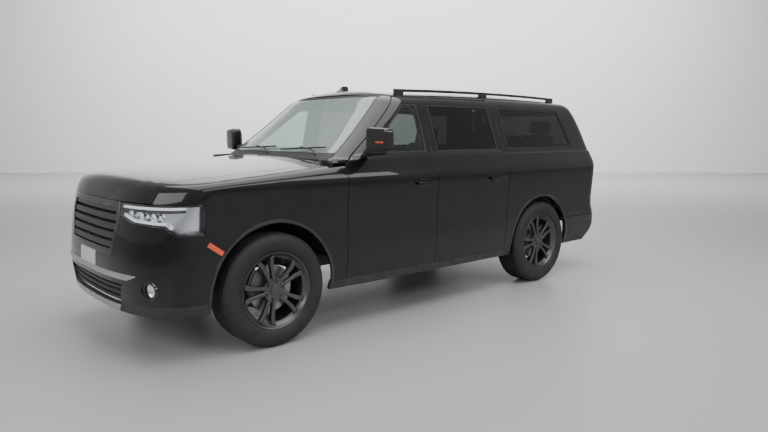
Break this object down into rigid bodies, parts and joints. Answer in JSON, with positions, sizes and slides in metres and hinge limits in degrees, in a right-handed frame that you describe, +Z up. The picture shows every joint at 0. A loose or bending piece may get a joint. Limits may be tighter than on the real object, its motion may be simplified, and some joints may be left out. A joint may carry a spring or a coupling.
{
  "type": "suv",
  "caption": "Full-size sport utility vehicle with three rows of seats, opening side doors, bonnet and liftgate, steered front wheels and a tow receiver.",
  "frame": {"origin": "on the ground, at the middle of the overall length and width", "axes": "+X to the vehicle's left side, so the X = 0 plane is the mirror plane of the body; +Y to the rear, so the nose points to -Y; +Z up"},
  "size_m": [2.4886, 5.2, 1.8896],
  "materials": {
    "body_paint": "glossy black clear coat",
    "chassis_steel": "satin black",
    "inner_metal": "satin black",
    "dark_plastic": "grained black",
    "lamp_glass": "clear lens over bright reflectors",
    "red_lens": "glossy red",
    "clear_glass": "light green tint",
    "privacy_glass": "dark tint",
    "tyre_rubber": "matt black",
    "wheel_alloy": "dark grey machined alloy",
    "engine_casting": "rough casting",
    "exhaust_steel": "dull steel",
    "tank_plastic": "matt black",
    "seat_leather": "dark grey, stitched"
  },
  "bodies": {
    "chassis": {"ladder_frame": "chassis_steel", "tow_receiver": "chassis_steel", "floor_pan": "inner_metal", "left_body_side": "body_paint", "right_body_side": "body_paint", "roof_panel": "body_paint", "bulkhead": "inner_metal", "left_fender": "body_paint", "right_fender": "body_paint", "front_bumper": "body_paint", "rear_bumper": "body_paint", "grille": "dark_plastic", "headlamps": "lamp_glass", "fog_lamps": "lamp_glass", "tail_lamps": "red_lens", "windscreen": "clear_glass", "quarter_windows": "privacy_glass", "roof_rails": "dark_plastic", "front_suspension": "chassis_steel", "rear_axle": "chassis_steel", "engine_block": "engine_casting", "exhaust": "exhaust_steel", "fuel_tank": "tank_plastic", "dashboard": "dark_plastic", "front_seats": "seat_leather", "middle_seats": "seat_leather", "rear_seats": "seat_leather"},
    "bonnet_lid": {"bonnet": "body_paint"},
    "left_front_door_leaf": {"left_front_door": "body_paint", "left_front_door_glass": "clear_glass", "left_mirror": "body_paint"},
    "right_front_door_leaf": {"right_front_door": "body_paint", "right_front_door_glass": "clear_glass", "right_mirror": "body_paint"},
    "left_rear_door_leaf": {"left_rear_door": "body_paint", "left_rear_door_glass": "privacy_glass"},
    "right_rear_door_leaf": {"right_rear_door": "body_paint", "right_rear_door_glass": "privacy_glass"},
    "liftgate_lid": {"liftgate": "body_paint", "liftgate_glass": "privacy_glass"},
    "left_front_road_wheel": {"left_front_tyre": "tyre_rubber", "left_front_wheel": "wheel_alloy"},
    "right_front_road_wheel": {"right_front_tyre": "tyre_rubber", "right_front_wheel": "wheel_alloy"},
    "left_rear_road_wheel": {"left_rear_tyre": "tyre_rubber", "left_rear_wheel": "wheel_alloy"},
    "right_rear_road_wheel": {"right_rear_tyre": "tyre_rubber", "right_rear_wheel": "wheel_alloy"},
    "left_steered_hub": {"left_knuckle": "chassis_steel"},
    "right_steered_hub": {"right_knuckle": "chassis_steel"},
    "hand_wheel": {"steering_wheel": "dark_plastic"}
  },
  "joints": [
    {"name": "left_steer", "type": "hinge", "parent": "chassis", "child": "left_steered_hub", "pos_m": [0.79, -1.65, 0.405], "axis": [0, 0, 1], "range_deg": [-32, 32]},
    {"name": "right_steer", "type": "hinge", "parent": "chassis", "child": "right_steered_hub", "pos_m": [-0.79, -1.65, 0.405], "axis": [0, 0, 1], "range_deg": [-32, 32]},
    {"name": "left_front_wheel_spin", "type": "hinge", "parent": "left_steered_hub", "child": "left_front_road_wheel", "pos_m": [0.858, -1.65, 0.405], "axis": [1, 0, 0], "continuous": true},
    {"name": "right_front_wheel_spin", "type": "hinge", "parent": "right_steered_hub", "child": "right_front_road_wheel", "pos_m": [-0.858, -1.65, 0.405], "axis": [1, 0, 0], "continuous": true},
    {"name": "left_rear_wheel_spin", "type": "hinge", "parent": "chassis", "child": "left_rear_road_wheel", "pos_m": [0.858, 1.43, 0.405], "axis": [1, 0, 0], "continuous": true},
    {"name": "right_rear_wheel_spin", "type": "hinge", "parent": "chassis", "child": "right_rear_road_wheel", "pos_m": [-0.858, 1.43, 0.405], "axis": [1, 0, 0], "continuous": true},
    {"name": "left_front_door_hinge", "type": "hinge", "parent": "chassis", "child": "left_front_door_leaf", "pos_m": [0.9957, -1.005, 0.95], "axis": [0, 0, -1], "range_deg": [0, 65]},
    {"name": "right_front_door_hinge", "type": "hinge", "parent": "chassis", "child": "right_front_door_leaf", "pos_m": [-0.9957, -1.005, 0.95], "axis": [0, 0, 1], "range_deg": [0, 65]},
    {"name": "left_rear_door_hinge", "type": "hinge", "parent": "chassis", "child": "left_rear_door_leaf", "pos_m": [0.999, -0.051, 0.95], "axis": [0, 0, -1], "range_deg": [0, 65]},
    {"name": "right_rear_door_hinge", "type": "hinge", "parent": "chassis", "child": "right_rear_door_leaf", "pos_m": [-0.999, -0.051, 0.95], "axis": [0, 0, 1], "range_deg": [0, 65]},
    {"name": "bonnet_hinge", "type": "hinge", "parent": "chassis", "child": "bonnet_lid", "pos_m": [0, -1.13, 1.258], "axis": [-1, 0, 0], "range_deg": [0, 55]},
    {"name": "liftgate_hinge", "type": "hinge", "parent": "chassis", "child": "liftgate_lid", "pos_m": [0, 2.215, 1.85426], "axis": [1, 0, 0], "range_deg": [0, 85]},
    {"name": "steering_wheel_turn", "type": "hinge", "parent": "chassis", "child": "hand_wheel", "pos_m": [0.41, -0.53, 1.06], "axis": [0, 0.9063, 0.4226], "range_deg": [-480, 480]}
  ],
  "couplings": [
    {"joint": "right_steer", "follows": "left_steer", "ratio": 1},
    {"joint": "steering_wheel_turn", "follows": "left_steer", "ratio": 15}
  ]
}
